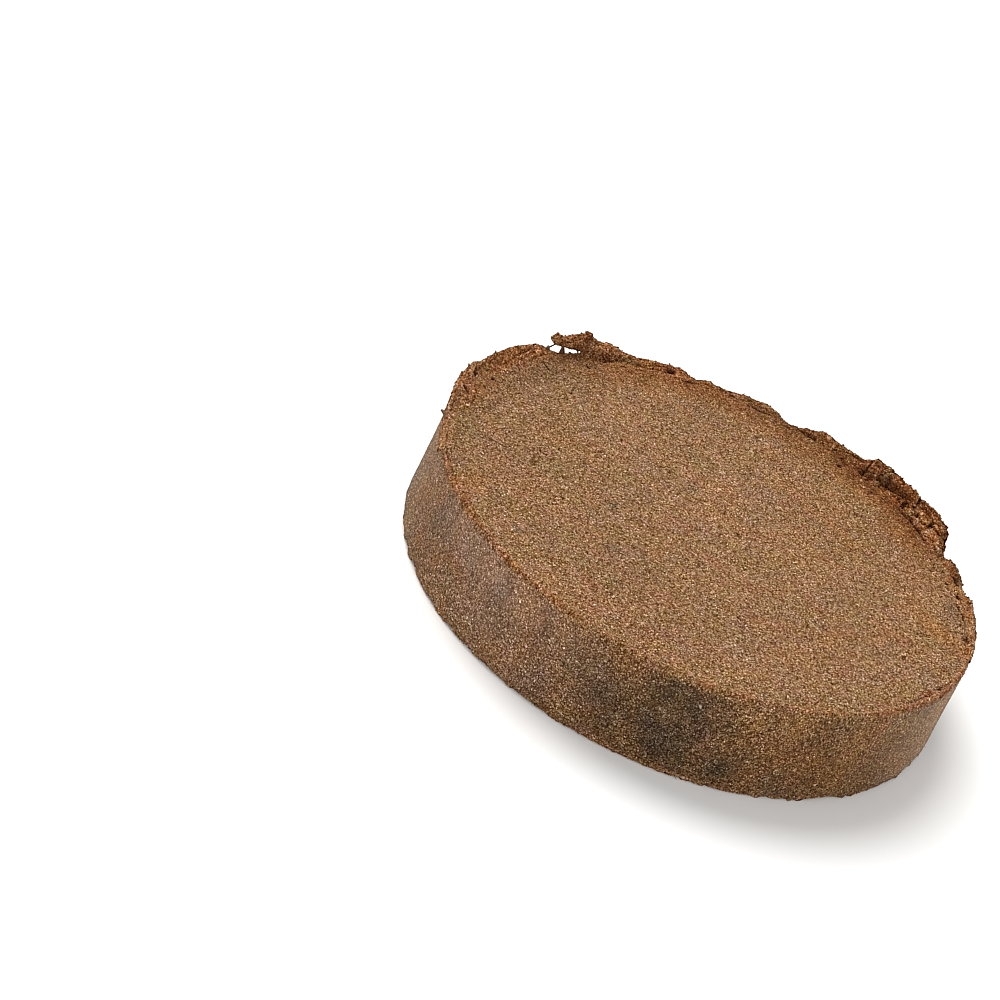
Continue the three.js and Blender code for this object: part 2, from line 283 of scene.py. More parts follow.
# Spurs that stand out from the edge: angle, radius and height where they start and end, thickness there
SPURS = [
    (190.4, 44.3, 16.3, 45.8, 17.1, 0.62),
    (25.9, 44.0, 16.8, 44.7, 16.9, 0.6),
    (19.6, 44.2, 16.9, 44.9, 17.5, 0.35),
    (176.5, 45.1, 20.2, 45.4, 20.6, 0.3),
    (164.6, 44.6, 19.4, 44.8, 20.0, 0.3),
    (155.9, 44.5, 18.9, 44.8, 19.4, 0.28),
    (149.9, 44.4, 18.4, 44.7, 18.8, 0.28),
    (146.2, 44.3, 17.9, 44.6, 18.5, 0.35),
    (39.6, 43.9, 17.8, 45.3, 18.3, 0.6),
]
# What still joins the flake to the shoulder across the slit: path and thickness along it
BRIDGES = [
    (
        [(-35.6, 26.4, 19.9), (-35.2, 26.8, 19.0), (-34.9, 27.3, 18.0), (-34.7, 27.4, 16.9)],
        (0.6, 0.34, 0.3, 0.6),
    ),
    (
        [(-37.0, 24.6, 18.0), (-36.7, 24.9, 18.3), (-36.3, 25.5, 18.6), (-35.8, 26.2, 19.1)],
        (0.34, 0.17, 0.13, 0.2),
    ),
]

# The photograph's camera: 28.7 degrees above the face, rolled, and aimed a little left of the middle
CAMERA_PLACE_MM = (0.0, -410.06, 241.87)
CAMERA_AIM_MM = (-29.65, -24.39, THICKNESS_MM)
CAMERA_ROLL = 25.13
LENS_MM = 108.0
SENSOR_MM = 36.0
SHARPENING = 0.1
SOFTENING_PX = 3
DISPLAY_GAMMA = 2.2

# Colours of single grains, with the share of them that has each. Pale ones are greyer
GRAIN_COLOURS = [
    ("dark", (0.115, 0.044, 0.014), 0.18),
    ("brown", (0.205, 0.093, 0.036), 0.25),
    ("mid", (0.325, 0.174, 0.086), 0.32),
    ("tan", (0.47, 0.285, 0.165), 0.21),
    ("straw", (0.68, 0.45, 0.29), 0.04),
]
# What the grain colours are multiplied by everywhere, on the wall, in its mottling and rusty places, in
# charcoal, in the crust and in the fine crust on the top edge
OVERALL_TINT = (1.13, 1.2, 1.26)
WALL_TINT = (0.85, 0.84, 0.76)
MOTTLE_TINT = (0.82, 0.87, 0.98)
RUSTY_TINT = (1.05, 0.96, 0.84)
CHARCOAL_TINT = (0.33, 0.39, 0.5)
CRUST_TINT = (0.88, 0.66, 0.48)
LIP_TINT = (1.1, 0.92, 0.8)
# How much the hue drifts from place to place: across the face, towards olive and towards pink
DRIFT = (0.035, -0.016, -0.06)
OLIVE = (0.0, 0.01, -0.15)
PINK = (0.05, -0.02, -0.01)
# How strongly a change of brightness works on red, green and blue: dark pith is the more saturated
TONE_POWERS = (0.82, 1.0, 1.28)
SPUR_COLOUR = (0.17, 0.088, 0.042)
FIBRE_COLOURS = [(0.5, 0.3, 0.15), (0.16, 0.075, 0.035), (0.34, 0.17, 0.075), (0.62, 0.45, 0.27)]


# Repeatable noise

CELL_STEPS = np.array([374761393, 668265263, 2147483629])
SEED_STEP = 144665
SCRAMBLE = 1274126177
ALL_BITS = 2**32 - 1


def lattice(cells, seed):
    """A value from -1 to 1 for each cell of a lattice."""
    n = (cells @ CELL_STEPS + seed * SEED_STEP) & ALL_BITS
    n = ((n ^ (n >> 13)) * SCRAMBLE) & ALL_BITS
    n = n ^ (n >> 16)
    return n / 2**31 - 1


def noise(points, size, seed):
    """Smooth noise from -1 to 1 with lumps of one size, at points in the same unit."""
    scaled = points / size
    cells = np.floor(scaled).astype(np.int64)
    part = scaled - cells
    part = part * part * (3 - 2 * part)
    total = np.zeros(len(points))
    for corner in np.ndindex(2, 2, 2):
        shares = np.where(corner, part, 1 - part)
        total += shares.prod(axis=1) * lattice(cells + np.array(corner), seed)
    return total


def lumps(points, size, seed, octaves=3):
    """Noise with smaller lumps on its lumps."""
    total = np.zeros(len(points))
    for octave in range(octaves):
        total += 0.55**octave * noise(points, size / 2**octave, seed + 17 * octave)
    return total


def creased(points, size, seed):
    """Noise from -1 to 1 with sharp crests, as torn crust has."""
    return 1 - 2.2 * np.abs(lumps(points, size, seed, 2))


def smooth(value, low, high):
    """0 below low, 1 above high, and a smooth rise between."""
    t = np.clip((value - low) / (high - low), 0, 1)
    return t * t * (3 - 2 * t)


def unit(vectors):
    """Vectors made one long."""
    return vectors / np.linalg.norm(vectors, axis=1)[:, None]


# Where things are on the disc

def angle_of(points):
    return np.degrees(np.arctan2(points[:, 1], points[:, 0])) % 360


def radius_of(points):
    return np.hypot(points[:, 0], points[:, 1])


def near_top(points, depth=1.0):
    """Whether each point lies higher than a depth under the face."""
    return points[:, 2] > THICKNESS_MM - depth


def apart(angle, middle):
    """Degrees between two angles, the short way round."""
    return np.abs((angle - middle + 540) % 360 - 180)


def stretch(angle, start, end, fade):
    """1 between two angles, falling to 0 at both ends."""
    half = (end - start) / 2
    return 1 - smooth(apart(angle, (start + end) / 2), half - fade, half)


def spot(points, angle, height, across, up):
    """A soft round mark on the wall at an angle and a height."""
    along = np.radians(apart(angle_of(points), angle)) * FACE_RADIUS_MM
    return np.exp(-((along / across) ** 2) - ((points[:, 2] - height) / up) ** 2)


def strongest_spot(points, spots):
    """The strongest of some soft marks on the wall at each point."""
    strongest = np.zeros(len(points))
    for angle, height, across, up, strength in spots:
        strongest = np.maximum(strongest, strength * spot(points, angle, height, across, up))
    return strongest


def face_patch(points, x, y, half_x, half_y):
    """A soft patch on the face."""
    across = ((points[:, 0] - x) / half_x) ** 2 + ((points[:, 1] - y) / half_y) ** 2
    return np.exp(-(across**2)) * near_top(points)


def marks_at(points):
    """For each mark, its kind, the points near it, how much it covers them and how far it raises them."""
    top = np.flatnonzero(near_top(points))
    if len(top) == 0:
        return
    ragged = 1 + 0.4 * noise(points[top], 0.9, 28) + 0.3 * noise(points[top], 0.4, 29)
    for kind, angle, radius, half_length, half_width, turned, raised in MARKS:
        middle = radius * np.array([math.cos(math.radians(angle)), math.sin(math.radians(angle))])
        offset = points[top, :2] - middle
        close = np.abs(offset).max(axis=1) < 2 * max(half_length, half_width)
        turn = math.radians(angle + 90 - turned)
        along = offset[close] @ np.array([math.cos(turn), math.sin(turn)])
        across = offset[close] @ np.array([-math.sin(turn), math.cos(turn)])
        away = (along / half_length) ** 2 + (across / half_width) ** 2
        yield kind, top[close], np.exp(-((away * ragged[close]) ** 2)), raised


def round_lip(angle):
    """How much the fine crust on the top edge shows at an angle, and how wide it is."""
    strengths = [strength * stretch(angle, start, end, 5) for start, end, strength, _ in LIPS]
    total = np.sum(strengths, axis=0)
    widths = sum(share * lip[3] for share, lip in zip(strengths, LIPS)) / np.maximum(total, 1e-6)
    return np.max(strengths, axis=0), widths


def face_bands(points):
    """What the face is multiplied by in the bands inside the rim, painted shade beside the torn ridge among
    them.
    """
    radius, angle = radius_of(points) + 1.2 * noise(points, 3.6, 6), angle_of(points)
    top = near_top(points, 1.5)
    total = np.ones((len(points), 3))
    for start, end, fade, inner, full, tint in FACE_BANDS:
        total = mixed_tint(total, stretch(angle, start, end, fade) * smooth(radius, inner, full) * top, tint)
    return total


def with_crevice_shade(base, points):
    """The colours, with painted shade in the crevice behind the torn ridge."""
    start, end, fade, middle, half_width, tint = CREVICE_SHADE
    across = (radius_of(points) + 0.5 * noise(points, 1.8, 47) - middle) / half_width
    share = stretch(angle_of(points), start, end, fade) * np.exp(-(across**2)) * near_top(points, 1.5)
    return mixed_tint(base, share, tint)


def dust_and_sheen_on(points, wall):
    """The share of dust at each point, with painted sheen at the pale right end of the wall."""
    return strongest_spot(points, DUST_AND_SHEEN_PATCHES) * wall * (1 + 0.5 * lumps(points, 2.4, 48, 2))


def masks(points, normals):
    """How much each point belongs to the wall, the underside, the crust and the two sharp edges, and to the
    gaps that get painted shade.
    """
    radius, angle, height = radius_of(points), angle_of(points), points[:, 2]
    wobble = noise(points, 2.6, 5)
    crusts = np.zeros((3, len(points)))
    top = smooth(height, THICKNESS_MM - 1.6, THICKNESS_MM - 0.6)
    for start, end, fade, width, *strengths in CRUSTS:
        inner = FACE_RADIUS_MM - width
        reach = smooth(radius + 0.7 * wobble, inner - 0.9, inner + 1.2)
        there = top * reach * stretch(angle, start, end, fade)
        crusts = np.maximum(crusts, np.outer(strengths, there))
    top_edge = np.hypot(radius - FACE_RADIUS_MM, height - THICKNESS_MM)
    lip, lip_width = round_lip(angle)
    lip_width = lip_width * (1 + 0.35 * noise(points, 1.3, 8)) + 0.05
    # gaps and rim cracks, which the material darkens as painted shade
    shaded_gap = np.clip(rim_cracks(points) / SHADED_GAP_DEPTH_MM, 0, 1)
    for kind, near, cover, _ in marks_at(points):
        if kind == "shaded_gap":
            shaded_gap[near] = np.maximum(shaded_gap[near], cover)
    foot_edge = np.hypot(radius - FOOT_RADIUS_MM, height)
    upright = smooth(1 - np.abs(normals[:, 2]), 0.35, 0.8)
    return {
        "wall": upright * (1 - top) * smooth(height, 0.5, 1.5),
        "under": smooth(-normals[:, 2], 0.4, 0.8) * (1 - smooth(height, 0.5, 1.5)),
        "crust": crusts[0],
        "torn": crusts[1],
        "paler": crusts[2],
        "lip": lip * np.exp(-((top_edge / lip_width) ** 4)),
        "shaded_gap": shaded_gap,
        "foot": np.exp(-((foot_edge / (0.9 + 0.5 * wobble)) ** 2)),
    }


def near_slit(points, normals):
    """1 on the two sides of the slit under the flake, which stays open."""
    there = stretch(angle_of(points), SLIT["from"], SLIT["to"], 2)
    sides = (normals[:, 2] < 0.1) | (points[:, 2] < SLIT["flake"])
    return there * sides * (radius_of(points) > SLIT["radius"]) * (points[:, 2] > SLIT["height"])


# Meshes

def rows_of(items, name, width, kind=float):
    """What a mesh's corners, edges or triangles hold under a name, one row for each."""
    values = np.empty(len(items) * width, kind)
    items.foreach_get(name, values)
    return values.reshape(-1, width)


def arrays_of(mesh):
    """The corners of a mesh in millimetres, and its corners' normals."""
    return rows_of(mesh.vertices, "co", 3) / MM, rows_of(mesh.vertices, "normal", 3)


def set_points(mesh, points):
    mesh.vertices.foreach_set("co", (points * MM).astype(np.float32).ravel())
    mesh.update()


def store(mesh, name, values):
    """Keeps a number or a colour for each corner, for the material to read."""
    kind, field = "FLOAT", "value"
    if values.ndim == 2:
        kind, field = "FLOAT_COLOR", "color"
        values = np.column_stack([values, np.ones(len(values))])
    attribute = mesh.attributes.new(name, kind, "POINT")
    attribute.data.foreach_set(field, values.astype(np.float32).ravel())


def placed(name, data):
    """A new object in the scene."""
    made = bpy.data.objects.new(name, data)
    bpy.context.scene.collection.objects.link(made)
    return made


def applied(piece):
    """A new mesh of a piece as its modifiers shape it."""
    graph = bpy.context.evaluated_depsgraph_get()
    return bpy.data.meshes.new_from_object(piece.evaluated_get(graph))


def mesh_from(name, points, faces, tints):
    """An object made of triangles, from corners in millimetres."""
    mesh = bpy.data.meshes.new(name)
    mesh.vertices.add(len(points))
    set_points(mesh, points)
    mesh.loops.add(faces.size)
    mesh.loops.foreach_set("vertex_index", faces.astype(np.int32).ravel())
    mesh.polygons.add(len(faces))
    mesh.polygons.foreach_set("loop_start", np.arange(0, faces.size, 3, dtype=np.int32))
    mesh.update(calc_edges=True)
    mesh.validate()
    store(mesh, "tint", tints)
    return placed(name, mesh)


def finished(piece, material):
    """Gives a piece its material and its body."""
    piece.data.materials.clear()
    piece.data.materials.append(material)
    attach(piece, "root")


# The skin

WELD_MM = 0.001
SKIN_VOXEL_MM = 0.24
SKIN_TRIANGLES = 196000
RIM_BAND_MM = 5.0  # the top edge keeps more of its corners this far in
RIM_WEIGHT = 0.5
EVENING_ROUNDS = 6
# Painted shade in hollows and painted highlight on proud corners are full this far from the evened skin
RELIEF_MM = 0.20  # how far a corner lies out of the evened skin where it counts as fully proud or hollow


def remeshed_copy(node, voxel_mm):
    """An even, closed mesh of a CAD node's shape."""
    source = placed("skin_source", node.data.copy())
    weld = source.modifiers.new("weld", "WELD")
    weld.merge_threshold = WELD_MM * MM
    remesh = source.modifiers.new("remesh", "REMESH")
    remesh.mode = "VOXEL"
    remesh.voxel_size = voxel_mm * MM
    remesh.use_smooth_shade = True
    mesh = applied(source)
    bpy.data.objects.remove(source)
    mesh.name = "coir_disc_skin"
    return placed(mesh.name, mesh)


def neighbour_mean(values, pairs):
    """The mean of each corner's neighbours."""
    count = len(values)
    total = np.zeros_like(values)
    for a, b in ((0, 1), (1, 0)):
        for axis in range(values.shape[1]):
            total[:, axis] += np.bincount(pairs[:, a], values[pairs[:, b], axis], count)
    links = np.bincount(pairs.ravel(), minlength=count)
    return total / np.maximum(links, 1)[:, None]


def layered(points):
    """The points with what runs along the rim drawn together, so that noise there lies along it."""
    arc = np.radians((angle_of(points) + 90) % 360) * radius_of(points)
    return np.stack([radius_of(points), 0.45 * arc, 0.9 * points[:, 2]], axis=1)


def grooves(points, place, cracks, wander, longest_fade):
    """How deep some cracks are at each point. place is the radius or the height that they are given in."""
    angle, depth = angle_of(points), np.zeros(len(points))
    for start, end, first, last, opening, deepest in cracks:
        share = np.clip(((angle - start) % 360) / (end - start), 0, 1)
        across = (place - (first + (last - first) * share + wander)) / opening
        there = stretch(angle, start, end, min(longest_fade, (end - start) / 3)) * np.exp(-(across**2))
        depth = np.maximum(depth, deepest * there)
    return depth


def fissures(points):
    """How deep the cracks along the wall are at each point."""
    wander = 0.35 * noise(points, 2.2, 21) + 0.15 * noise(points, 0.8, 22)
    return grooves(points, points[:, 2], FISSURES, wander, 3)


def rim_cracks(points):
    """How deep the cracks in the rim are at each point."""
    wander = 0.40 * noise(points, 2.4, 25) + 0.16 * noise(points, 0.8, 26)
    broken = smooth(noise(points, 1.9, 27), -0.55, 0.0)
    return grooves(points, radius_of(points), RIM_CRACKS, wander, 4) * broken * near_top(points)


def face_relief(points):
    """How far the marks push the top up or down."""
    rise = np.zeros(len(points))
    for _, near, cover, raised in marks_at(points):
        rise[near] += raised * cover
    return rise


def roughen(skin):
    """Breaks up the skin: crumbly crust, ragged edges, pits in the face and a nearly smooth wall."""
    mesh = skin.data
    points, normals = arrays_of(mesh)
    where = masks(points, normals)
    torn, lip, foot, wall = (where[name] for name in ("torn", "lip", "foot", "wall"))
    plain = 1 - np.clip(torn + lip + foot, 0, 1)
    layers = layered(points)
    crumbly = 0.20 * creased(layers, 2.2, 11) + 0.26 * lumps(layers, 1.1, 12)
    crumbly += 0.12 * creased(points, 0.7, 18) - 0.08
    cracks = -0.55 * (1 - smooth(np.abs(noise(layers, 1.9, 19)), 0.03, 0.14))
    ragged = 0.22 * lumps(points, 0.7, 13) + 0.16 * noise(points, 2.0, 20) + 0.3 * cracks
    chewed = 0.30 * lumps(points, 1.2, 14) - 0.10
    grain = 0.05 * lumps(points, 0.8, 15, 2)
    pits = -0.28 * smooth(noise(points, 1.1, 16), 0.62, 0.85)
    swell = 0.07 * noise(points, 9.0, 17)
    push = torn * (crumbly + cracks) + (1 - torn) * lip * ragged + foot * chewed
    push += plain * (1 - 0.75 * wall) * (grain + swell + pits * (1 - wall))
    push += plain * wall * 0.25 * swell
    open_slit = near_slit(points, normals)
    push *= 1 - 0.85 * open_slit
    push -= fissures(points) * wall
    points = points + normals * push[:, None]
    cracked = rim_cracks(points) * (1 - open_slit)
    points[:, 2] = np.maximum(points[:, 2] + face_relief(points) - cracked, 0)
    set_points(mesh, points)


def thinned(skin, triangles):
    """Collapses edges where the skin is flattest, away from the rim, until it has so many triangles."""
    mesh = skin.data
    mesh.calc_loop_triangles()
    points, _ = arrays_of(mesh)
    inner = FACE_RADIUS_MM - RIM_BAND_MM
    rim = (radius_of(points) > inner) & near_top(points, 1.5)
    plain = skin.vertex_groups.new(name="plain")
    for chosen, weight in ((~rim, 1.0), (rim, RIM_WEIGHT)):
        plain.add(np.flatnonzero(chosen).tolist(), weight, "REPLACE")
    decimate = skin.modifiers.new("decimate", "DECIMATE")
    decimate.ratio = min(1, triangles / len(mesh.loop_triangles))
    decimate.vertex_group = plain.name
    skin.data = applied(skin)
    skin.modifiers.clear()
    skin.vertex_groups.clear()
    bpy.data.meshes.remove(mesh)
    skin.data.name = skin.name
    points, _ = arrays_of(skin.data)
    points[:, 2] = np.maximum(points[:, 2], 0)
    set_points(skin.data, points)


def record_masks(skin):
    """Stores what the material reads: wall, dust and painted sheen, colour with painted shade in it, and how
    far a corner lies in or out, for painted shade in hollows and painted highlight on proud corners.
    """
    mesh = skin.data
    points, normals = arrays_of(mesh)
    where = masks(points, normals)
    pairs = rows_of(mesh.edges, "vertices", 2, np.int32)
    even = points
    for _ in range(EVENING_ROUNDS):
        even = neighbour_mean(even, pairs)
    proud = ((points - even) * normals).sum(axis=1)
    store(mesh, "wall", where["wall"])
    store(mesh, "dust_and_sheen", np.clip(dust_and_sheen_on(points, where["wall"]), 0, 1))
    # painted shade in the hollows, painted highlight on proud corners
    store(mesh, "hollow_shade", np.clip(-proud / RELIEF_MM, 0, 1))
    store(mesh, "proud", np.clip(proud / RELIEF_MM, 0, 1))
    store(mesh, "shade", region_tint(points, where))
    mesh.polygons.foreach_set("use_smooth", np.ones(len(mesh.polygons), bool))


def mixed_tint(base, share, tint):
    return base * (1 + share[:, None] * (np.array(tint) - 1))


def region_tint(points, where):
    """The colour that grains are multiplied by in each region, with painted shade and painted sheen among
    it.
    """
    wall = where["wall"]
    broad = lumps(points, 16.0, 31, 2)[:, None]
    patchy = lumps(points, 5.0, 32, 2)[:, None]
    base = np.array(OVERALL_TINT) * (1 + 0.04 * broad + 0.035 * patchy)
    base = base * (1 + patchy * np.array(DRIFT))
    olive = (0.5 * noise(points, 3.4, 41) + noise(points, 1.5, 42) + 0.7 * noise(points, 0.7, 45))[:, None]
    pink = (0.7 * noise(points, 3.0, 43) + noise(points, 1.3, 44) + 0.8 * noise(points, 0.6, 46))[:, None]
    base = base * (1 + olive * np.array(OLIVE) + pink * np.array(PINK))
    for x, y, half_x, half_y, tint in FACE_PATCHES:
        base = mixed_tint(base, face_patch(points, x, y, half_x, half_y), tint)

    base = mixed_tint(base, wall, WALL_TINT)
    for angle, height, across, up, tint in WALL_PATCHES:
        base = mixed_tint(base, wall * spot(points, angle, height, across, up), tint)
    mottle = smooth(lumps(points * np.array([1, 1, 0.6]), 6.5, 33, 3), -0.1, 0.7)
    base = mixed_tint(base, wall * mottle, MOTTLE_TINT)
    rusts = smooth(lumps(points, 4.2, 36, 3), 0.0, 0.8)
    base = mixed_tint(base, wall * rusts, RUSTY_TINT)
    streaks = noise(points * np.array([1, 1, 0.12]), 0.9, 35)
    base = base * (1 + 0.10 * (wall * streaks))[:, None]

    charcoal = strongest_spot(points, CHARCOALS) * (wall * (0.85 + 0.5 * lumps(points, 3.5, 34, 2)))
    base = mixed_tint(base, np.clip(charcoal, 0, 1), CHARCOAL_TINT)

    crust = np.clip(where["crust"] + 0.4 * where["foot"], 0, 1)
    base = base * (1 + (1 - crust)[:, None] * (face_bands(points) - 1))
    # paler crust; at the flake it is partly painted light on its shaded root
    base = mixed_tint(base, crust, CRUST_TINT) * (1 + where["paler"])[:, None]
    lip = where["lip"] * (1 - crust)
    base = mixed_tint(base, lip, LIP_TINT)
    # painted shade in the crevice behind the torn ridge
    base = with_crevice_shade(base, points)
    flecks = lumps(points, 0.6, 37, 2) * np.clip(crust + lip, 0, 1)
    base = base * np.exp(0.55 * flecks[:, None] * np.array(TONE_POWERS))
    for kind, near, cover, _ in marks_at(points):
        if kind == "bump":
            continue
        share = cover[:, None]
        base[near] = base[near] * (1 - share) + np.array(MARK_KINDS[kind]) * share
    # painted shade in the gaps and rim cracks
    return mixed_tint(base, where["shaded_gap"], MARK_KINDS["shaded_gap"])


# Grains, crumbs and fibres

def surface_samples(skin, count, weigh, rng):
    """Random places on the skin, more of them where weigh says so."""
    mesh = skin.data
    mesh.calc_loop_triangles()
    triangles = rows_of(mesh.loop_triangles, "vertices", 3, np.int32)
    points, normals = arrays_of(mesh)
    corners = points[triangles]
    cross = np.cross(corners[:, 1] - corners[:, 0], corners[:, 2] - corners[:, 0])
    area = np.linalg.norm(cross, axis=1) / 2
    middle_normals = normals[triangles].mean(axis=1)
    weight = area * weigh(corners.mean(axis=1), middle_normals)
    chosen = rng.choice(len(triangles), count, p=weight / weight.sum())
    shares = rng.dirichlet((1, 1, 1), count)[:, :, None]
    places = (corners[chosen] * shares).sum(axis=1)
    return places, unit((normals[triangles[chosen]] * shares).sum(axis=1))


def directions_across(facing, rng):
    """Two directions along the surface at each place, turned at random."""
    along = unit(np.cross(facing, rng.normal(size=facing.shape)))
    return along, np.cross(facing, along)


def grain_tints(count, rng, rusty, spread):
    """Colours for single grains. Crust has more rust in it."""
    colours = np.array([colour for _, colour, _ in GRAIN_COLOURS])
    shares = np.array([share for _, _, share in GRAIN_COLOURS])
    shares = shares * np.array([1 + rusty, 1 + 0.5 * rusty, 1, 1 - 0.3 * rusty, 1 - 0.4 * rusty])
    picked = colours[rng.choice(len(colours), count, p=shares / shares.sum())]
    return picked * np.exp(rng.normal(0, spread, (count, 1)) * np.array(TONE_POWERS))


# A grain: three corners on the ground and one above them
GRAIN_CORNERS = np.array([(-1, -0.7, -0.5), (1, -0.5, -0.5), (0, 1, -0.5), (0.1, 0, 1)], float)
GRAIN_FACES = np.array([(0, 2, 1), (0, 1, 3), (1, 2, 3), (2, 0, 3)])

# A crumb: an octahedron with its edges cut in half
CRUMB_CORNERS = np.array(
    [(1, 0, 0), (-1, 0, 0), (0, 1, 0), (0, -1, 0), (0, 0, 1), (0, 0, -1)]
    + [(0.7 * a, 0.7 * b, 0) for a in (-1, 1) for b in (-1, 1)]
    + [(0.7 * a, 0, 0.7 * b) for a in (-1, 1) for b in (-1, 1)]
    + [(0, 0.7 * a, 0.7 * b) for a in (-1, 1) for b in (-1, 1)],
    float,
)

PLATE_SIDES = 6


def crumb():
    """The corners and triangles of a crumb."""
    index = {tuple(np.sign(corner).astype(int)): i for i, corner in enumerate(CRUMB_CORNERS)}
    faces = []
    for signs in np.ndindex(2, 2, 2):
        a, b, c = 2 * np.array(signs) - 1
        x, y, z = index[(a, 0, 0)], index[(0, b, 0)], index[(0, 0, c)]
        xy, xz, yz = index[(a, b, 0)], index[(a, 0, c)], index[(0, b, c)]
        corner_faces = [(x, xy, xz), (y, yz, xy), (z, xz, yz), (xy, yz, xz)]
        if a * b * c < 0:
            corner_faces = [(p, r, q) for p, q, r in corner_faces]
        faces += corner_faces
    return CRUMB_CORNERS, np.array(faces)


def plate():
    """A thin six-sided plate, bent up in the middle."""
    turns = 2 * math.pi * np.arange(PLATE_SIDES) / PLATE_SIDES
    ring = np.stack([np.cos(turns), np.sin(turns)], axis=1)
    corners = [(x, y, level) for level in (-1, 1) for x, y in ring]
    corners += [(0, 0, 0.2), (0, 0, 2.2)]
    under, over = 2 * PLATE_SIDES, 2 * PLATE_SIDES + 1
    faces = []
    for i in range(PLATE_SIDES):
        j = (i + 1) % PLATE_SIDES
        a, b, c, d = i, j, j + PLATE_SIDES, i + PLATE_SIDES
        faces += [(a, b, c), (a, c, d), (under, b, a), (over, d, c)]
    return np.array(corners, float), np.array(faces)


def pieces_on(places, facing, sizes, shape, jitter, rng):
    """One small solid at each place: sizes are half its length, width and height."""
    corners, faces = shape
    along, across = directions_across(facing, rng)
    local = corners[None] + rng.normal(0, jitter, (len(places), *corners.shape))
    local = local * sizes[:, None, :]
    points = places[:, None, :] + (
        local[:, :, :1] * along[:, None, :]
        + local[:, :, 1:2] * across[:, None, :]
        + local[:, :, 2:] * facing[:, None, :]
    )
    index = faces[None] + (np.arange(len(places)) * len(corners))[:, None, None]
    points = points.reshape(-1, 3)
    points[:, 2] = np.maximum(points[:, 2], 0)
    return points, index.reshape(-1, 3)


def scattered(
    name, skin, count, weigh, seed, shape, jitter, sized, tilt=0, rusty=2.0, spread=0.16, with_dust_and_sheen=False
):
    """Joined small solids on the skin. sized gives their half lengths, widths and heights."""
    rng = np.random.default_rng(seed)
    places, facing = surface_samples(skin, count, weigh, rng)
    sizes = np.stack(sized(rng), axis=1)
    turned = unit(facing + tilt * rng.normal(size=facing.shape)) if tilt else facing
    points, faces = pieces_on(places, turned, sizes, shape, jitter, rng)
    where = masks(places, facing)
    tints = grain_tints(count, rng, rusty, spread) * region_tint(places, where)
    # dust, and painted sheen at the pale right end of the wall
    if with_dust_and_sheen:
        dust_and_sheen = np.clip(dust_and_sheen_on(places, where["wall"]), 0, 1)[:, None]
        tints = tints * (1 - dust_and_sheen) + np.array(DUST_AND_SHEEN_COLOUR) * dust_and_sheen
    return mesh_from(name, points, faces, np.repeat(tints, len(shape[0]), axis=0))


def grains(name, skin, count, weigh, seed, length, height, tilt=0.2, rusty=0.0, spread=0.16):
    """Joined grains pressed into the skin. length and height are half sizes in millimetres."""

    def sized(rng):
        lengths = length * np.exp(rng.normal(0, 0.35, count))
        widths = lengths * rng.uniform(0.45, 0.9, count)
        return lengths, widths, height * np.exp(rng.normal(0, 0.35, count))

    shape = (GRAIN_CORNERS, GRAIN_FACES)
    return scattered(name, skin, count, weigh, seed, shape, 0.2, sized, tilt, rusty, spread, True)


def crumbs(name, skin, count, weigh, seed, size):
    """Joined crumbs, half sunk in the skin. size is the usual half size in millimetres."""

    def sized(rng):
        sizes = size * np.exp(rng.normal(0, 0.35, (count, 1))) * rng.uniform(0.6, 1.2, (count, 3))
        return sizes.T

    return scattered(name, skin, count, weigh, seed, crumb(), 0.12, sized)


def flakes(name, skin, count, weigh, seed, size, thickness):
    """Joined thin plates of crust, stuck on the skin at all angles."""

    def sized(rng):
        lengths = size * np.exp(rng.normal(0, 0.4, count))
        widths = lengths * rng.uniform(0.4, 0.9, count)
        return lengths, widths, thickness * rng.uniform(0.6, 1.5, count)

    return scattered(name, skin, count, weigh, seed, plate(), 0.2, sized, 0.5)


FIBRE_SIDES = 5
FIBRE_STEPS = 8
FIBRE_TAPER = np.sin(np.linspace(0.35, math.pi - 0.2, FIBRE_STEPS))
FIBRE_HALF_MM = (0.03, 0.07)  # half thickness of the thinnest and the thickest
FIBRE_ROOT_MM = 0.05  # how deep one starts
FIBRE_LOWEST_MM = 0.08
TUBE_HELPER = np.array([0.31, 0.17, 0.93])  # a direction that no fibre runs along


def tube(path, thickness):
    """A closed thin tube along a path, with its half thickness at each point of it."""
    tangents = unit(np.gradient(path, axis=0))
    side = unit(np.cross(tangents, TUBE_HELPER))
    other = np.cross(tangents, side)
    turns = 2 * math.pi * np.arange(FIBRE_SIDES) / FIBRE_SIDES
    ring = np.cos(turns)[None, :, None] * side[:, None] + np.sin(turns)[None, :, None] * other[:, None]
    points = (path[:, None] + ring * np.array(thickness)[:, None, None]).reshape(-1, 3)
    points = np.vstack([points, path[:1], path[-1:]])
    faces = []
    first, last = len(points) - 2, len(points) - 1
    for i in range(FIBRE_SIDES):
        j = (i + 1) % FIBRE_SIDES
        for step in range(len(path) - 1):
            a, b = step * FIBRE_SIDES + i, step * FIBRE_SIDES + j
            faces += [(a, b, b + FIBRE_SIDES), (a, b + FIBRE_SIDES, a + FIBRE_SIDES)]
        end = (len(path) - 1) * FIBRE_SIDES
        faces += [(first, j, i), (last, end + i, end + j)]
    return points, np.array(faces)


def spur(angle, inner, low, outer, high, thickness):
    """The path of a short spur that stands out from the edge, and its thickness, less towards its tip."""
    turn = math.radians(angle)
    out = np.array([math.cos(turn), math.sin(turn), 0])
    shares = np.linspace(0, 1, 4)
    path = [out * (inner + (outer - inner) * share) + (0, 0, low + (high - low) * share) for share in shares]
    return path, thickness * (1 - 0.7 * shares)


